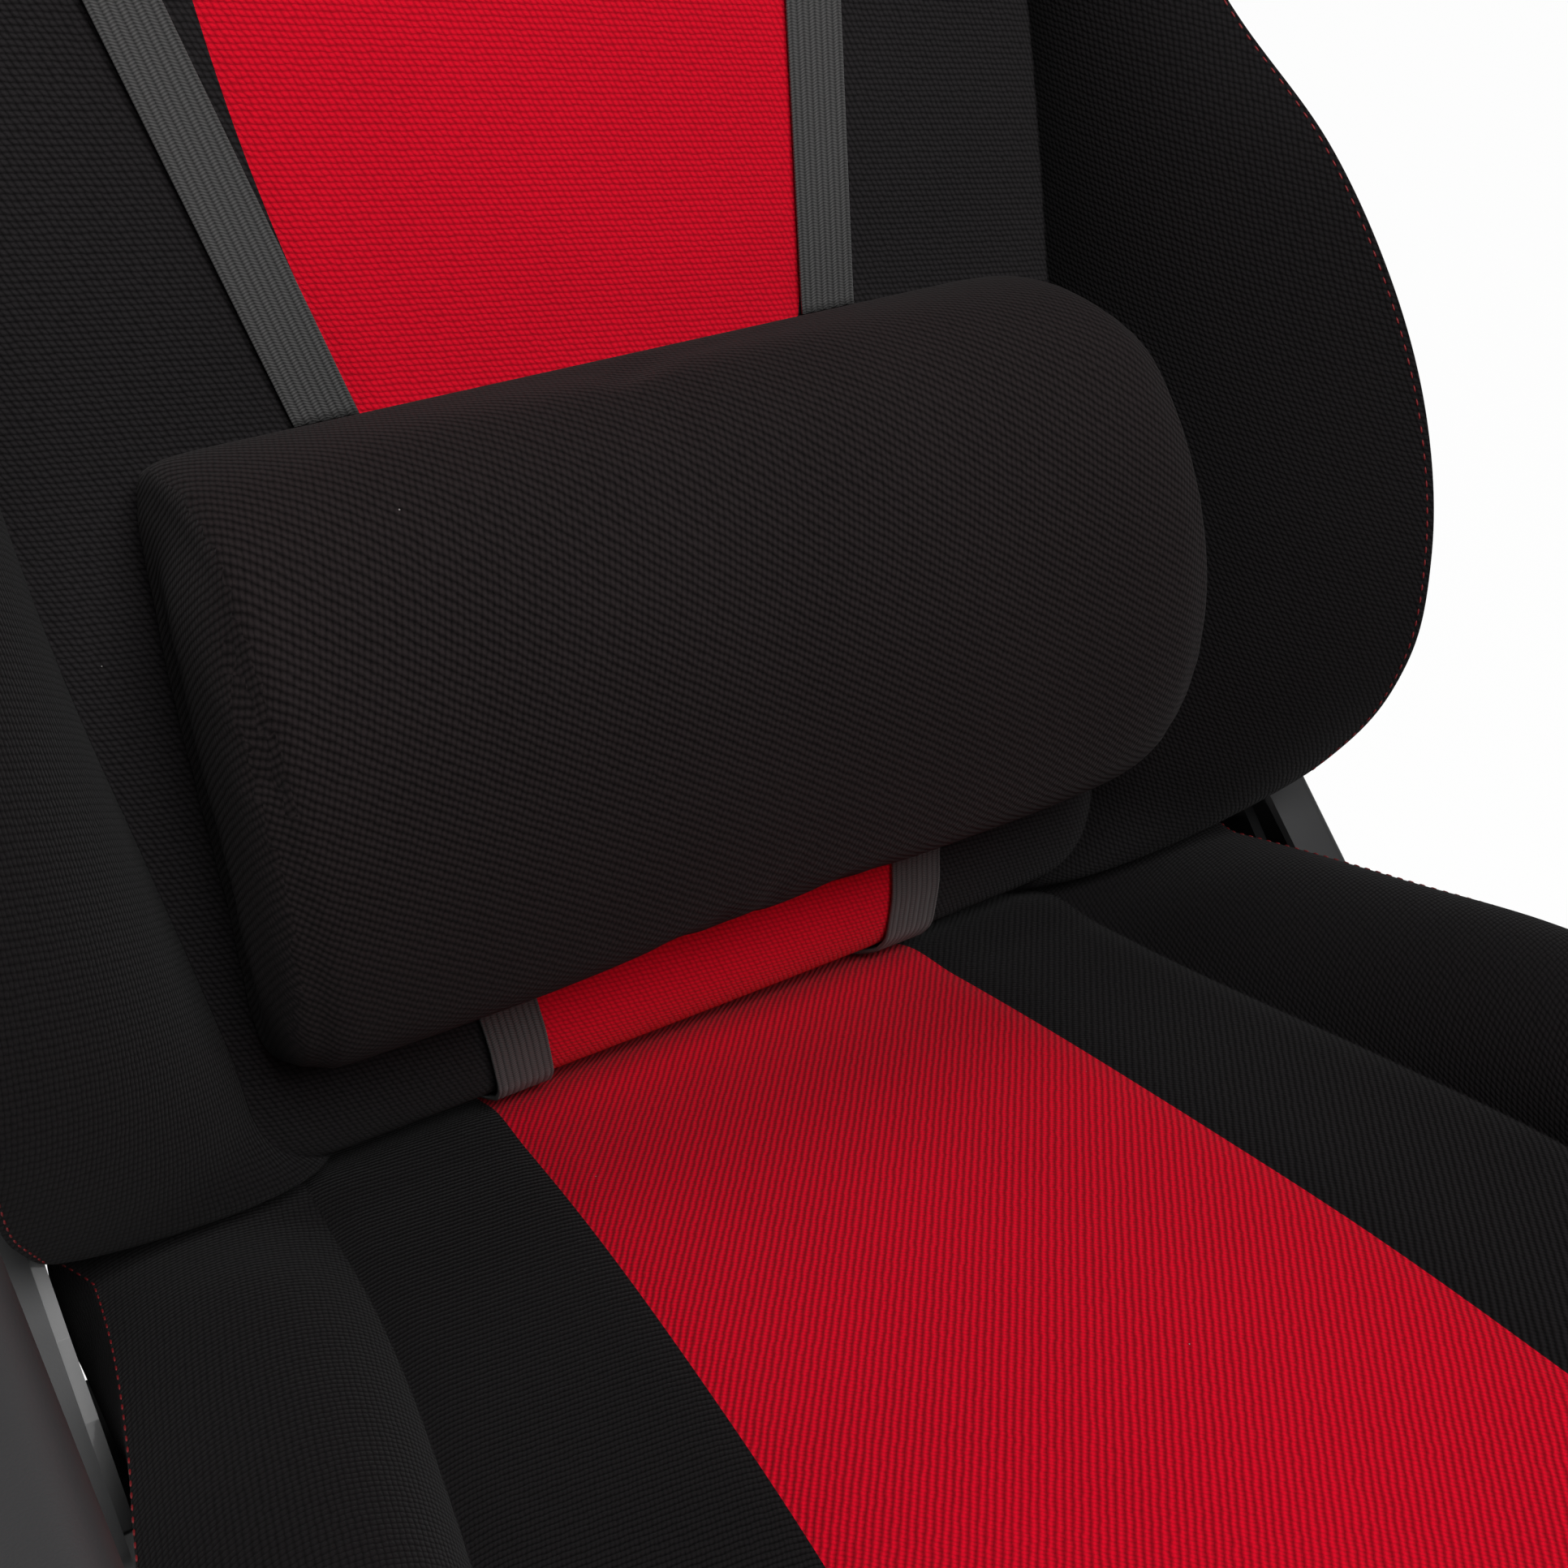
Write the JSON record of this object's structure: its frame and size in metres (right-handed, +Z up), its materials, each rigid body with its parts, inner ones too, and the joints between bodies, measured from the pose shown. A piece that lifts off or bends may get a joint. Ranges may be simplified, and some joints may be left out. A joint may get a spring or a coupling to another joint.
{
  "type": "racing style swivel chair",
  "caption": "Fabric covered bucket style swivel chair with reclining back, lumbar cushion on elastic straps, height adjustable armrests, tilt mechanism, gas column and castor base.",
  "frame": {"origin": "floor point under the swivel axis of the gas column", "axes": "+Z up, the sitter faces -Y, +X to the sitter's left"},
  "size_m": [0.748, 0.6775, 1.2659],
  "materials": {
    "back_fabric": "fine knit, black with a red centre panel",
    "seat_fabric": "ribbed knit, black with a red centre panel",
    "cushion_fabric": "black fabric with a fine diagonal rib",
    "lining_fabric": "plain black non-woven",
    "elastic_webbing": "grey elastic, ribbed lengthwise",
    "gloss_black_steel": "gloss black",
    "black_steel": "satin black powder coat",
    "bright_steel": "bright plated",
    "grey_plastic": "matte dark grey",
    "nylon": "moulded black nylon",
    "wheel_nylon": "moulded dark grey",
    "soft_pad": "matte moulded foam skin"
  },
  "bodies": {
    "base": {"star_base": "nylon", "gas_outer_tube": "black_steel", "gas_guide_bush": "grey_plastic", "cover_lower": "grey_plastic"},
    "castor_1_fork": {"castor_1_hood": "nylon", "castor_1_pins": "bright_steel"},
    "castor_1_wheel_pair": {"castor_1_wheels": "wheel_nylon"},
    "castor_2_fork": {"castor_2_hood": "nylon", "castor_2_pins": "bright_steel"},
    "castor_2_wheel_pair": {"castor_2_wheels": "wheel_nylon"},
    "castor_3_fork": {"castor_3_hood": "nylon", "castor_3_pins": "bright_steel"},
    "castor_3_wheel_pair": {"castor_3_wheels": "wheel_nylon"},
    "castor_4_fork": {"castor_4_hood": "nylon", "castor_4_pins": "bright_steel"},
    "castor_4_wheel_pair": {"castor_4_wheels": "wheel_nylon"},
    "castor_5_fork": {"castor_5_hood": "nylon", "castor_5_pins": "bright_steel"},
    "castor_5_wheel_pair": {"castor_5_wheels": "wheel_nylon"},
    "column_rod": {"gas_piston_rod": "bright_steel"},
    "cover_sleeve": {"cover_middle": "grey_plastic"},
    "lift": {"gas_inner_tube": "bright_steel", "cover_upper": "grey_plastic", "mechanism_housing": "black_steel", "tilt_pin": "bright_steel", "tension_spring": "bright_steel"},
    "knob": {"tension_knob": "grey_plastic"},
    "lever_sleeve": {"lever_bush": "grey_plastic"},
    "lever": {"height_lever": "black_steel"},
    "seat": {"mechanism_top_plate": "black_steel", "seat_frame": "black_steel", "seat_webbing": "elastic_webbing", "seat_bolts": "bright_steel", "seat_under_cover": "lining_fabric", "seat_cushion": "seat_fabric", "recliner_lower_left": "gloss_black_steel", "hinge_cover_left": "grey_plastic", "armrest_bracket_left": "black_steel", "recliner_lower_right": "gloss_black_steel", "hinge_cover_right": "grey_plastic", "armrest_bracket_right": "black_steel"},
    "backrest": {"back_frame": "black_steel", "back_cushion": "back_fabric", "back_rear_cover": "back_fabric", "harness_bezels": "grey_plastic", "lumbar_cushion": "cushion_fabric", "lumbar_straps": "elastic_webbing", "strap_buckles": "grey_plastic", "recliner_upper_left": "gloss_black_steel", "recliner_upper_right": "gloss_black_steel"},
    "recline_handle": {"recline_lever": "gloss_black_steel"},
    "arm_post_left": {"armrest_post_left": "grey_plastic"},
    "arm_button_left": {"armrest_button_left": "grey_plastic"},
    "arm_pad_left": {"armrest_pad_support_left": "black_steel", "armrest_pad_left": "soft_pad"},
    "arm_post_right": {"armrest_post_right": "grey_plastic"},
    "arm_button_right": {"armrest_button_right": "grey_plastic"},
    "arm_pad_right": {"armrest_pad_support_right": "black_steel", "armrest_pad_right": "soft_pad"}
  },
  "joints": [
    {"name": "castor_1_swivel", "type": "hinge", "parent": "base", "child": "castor_1_fork", "pos_m": [0, -0.3, 0.08], "axis": [0, 0, 1], "continuous": true},
    {"name": "castor_1_roll", "type": "hinge", "parent": "castor_1_fork", "child": "castor_1_wheel_pair", "pos_m": [0, -0.318, 0.03], "axis": [1, 0, 0], "continuous": true},
    {"name": "castor_2_swivel", "type": "hinge", "parent": "base", "child": "castor_2_fork", "pos_m": [0.28532, -0.0927, 0.08], "axis": [0, 0, 1], "continuous": true},
    {"name": "castor_2_roll", "type": "hinge", "parent": "castor_2_fork", "child": "castor_2_wheel_pair", "pos_m": [0.30244, -0.09827, 0.03], "axis": [0.309, 0.9511, 0], "continuous": true},
    {"name": "castor_3_swivel", "type": "hinge", "parent": "base", "child": "castor_3_fork", "pos_m": [0.17634, 0.24271, 0.08], "axis": [0, 0, 1], "continuous": true},
    {"name": "castor_3_roll", "type": "hinge", "parent": "castor_3_fork", "child": "castor_3_wheel_pair", "pos_m": [0.18692, 0.25727, 0.03], "axis": [-0.809, 0.5878, 0], "continuous": true},
    {"name": "castor_4_swivel", "type": "hinge", "parent": "base", "child": "castor_4_fork", "pos_m": [-0.17634, 0.24271, 0.08], "axis": [0, 0, 1], "continuous": true},
    {"name": "castor_4_roll", "type": "hinge", "parent": "castor_4_fork", "child": "castor_4_wheel_pair", "pos_m": [-0.18692, 0.25727, 0.03], "axis": [-0.809, -0.5878, 0], "continuous": true},
    {"name": "castor_5_swivel", "type": "hinge", "parent": "base", "child": "castor_5_fork", "pos_m": [-0.28532, -0.0927, 0.08], "axis": [0, 0, 1], "continuous": true},
    {"name": "castor_5_roll", "type": "hinge", "parent": "castor_5_fork", "child": "castor_5_wheel_pair", "pos_m": [-0.30244, -0.09827, 0.03], "axis": [0.309, -0.9511, 0], "continuous": true},
    {"name": "column_swivel", "type": "hinge", "parent": "base", "child": "column_rod", "pos_m": [0, 0, 0.08], "axis": [0, 0, 1], "continuous": true},
    {"name": "seat_height", "type": "slide", "parent": "column_rod", "child": "lift", "axis": [0, 0, 1], "range_m": [0, 0.1]},
    {"name": "cover_follow", "type": "slide", "parent": "base", "child": "cover_sleeve", "axis": [0, 0, 1], "range_m": [0, 0.05]},
    {"name": "tension_knob_turn", "type": "hinge", "parent": "lift", "child": "knob", "pos_m": [0, -0.062, 0.29], "axis": [0, 0, 1], "range_deg": [0, 720]},
    {"name": "tilt_lock_slide", "type": "slide", "parent": "lift", "child": "lever_sleeve", "axis": [-1, 0, 0], "range_m": [0, 0.012]},
    {"name": "height_lever_lift", "type": "hinge", "parent": "lever_sleeve", "child": "lever", "pos_m": [-0.044, 0, 0.3435], "axis": [0, 1, 0], "range_deg": [0, 3], "stiffness_Nm_per_rad": 8, "springref_deg": -5.73},
    {"name": "seat_tilt", "type": "hinge", "parent": "lift", "child": "seat", "pos_m": [0, -0.092, 0.357], "axis": [-1, 0, 0], "range_deg": [0, 12], "stiffness_Nm_per_rad": 120, "springref_deg": -34.38, "deforming": ["tension_spring"]},
    {"name": "back_recline", "type": "hinge", "parent": "seat", "child": "backrest", "pos_m": [0, 0.224, 0.479], "axis": [-1, 0, 0], "range_deg": [0, 41]},
    {"name": "recline_lever_pull", "type": "hinge", "parent": "seat", "child": "recline_handle", "pos_m": [-0.2953, 0.224, 0.479], "axis": [-1, 0, 0], "range_deg": [0, 30], "stiffness_Nm_per_rad": 3, "springref_deg": -17.19},
    {"name": "armrest_height_left", "type": "slide", "parent": "seat", "child": "arm_post_left", "axis": [0, 0, 1], "range_m": [0, 0.07]},
    {"name": "armrest_swivel_left", "type": "hinge", "parent": "arm_post_left", "child": "arm_pad_left", "pos_m": [-0.327, -0.1, 0.61], "axis": [0, 0, 1], "range_deg": [-15, 15]},
    {"name": "armrest_button_press_left", "type": "slide", "parent": "arm_post_left", "child": "arm_button_left", "axis": [1, 0, 0], "range_m": [0, 0.003], "stiffness_N_per_m": 500, "springref_m": -0.002},
    {"name": "armrest_height_right", "type": "slide", "parent": "seat", "child": "arm_post_right", "axis": [0, 0, 1], "range_m": [0, 0.07]},
    {"name": "armrest_swivel_right", "type": "hinge", "parent": "arm_post_right", "child": "arm_pad_right", "pos_m": [0.327, -0.1, 0.61], "axis": [0, 0, 1], "range_deg": [-15, 15]},
    {"name": "armrest_button_press_right", "type": "slide", "parent": "arm_post_right", "child": "arm_button_right", "axis": [-1, 0, 0], "range_m": [0, 0.003], "stiffness_N_per_m": 500, "springref_m": -0.002}
  ],
  "couplings": [
    {"joint": "cover_follow", "follows": "seat_height", "ratio": 0.5}
  ]
}
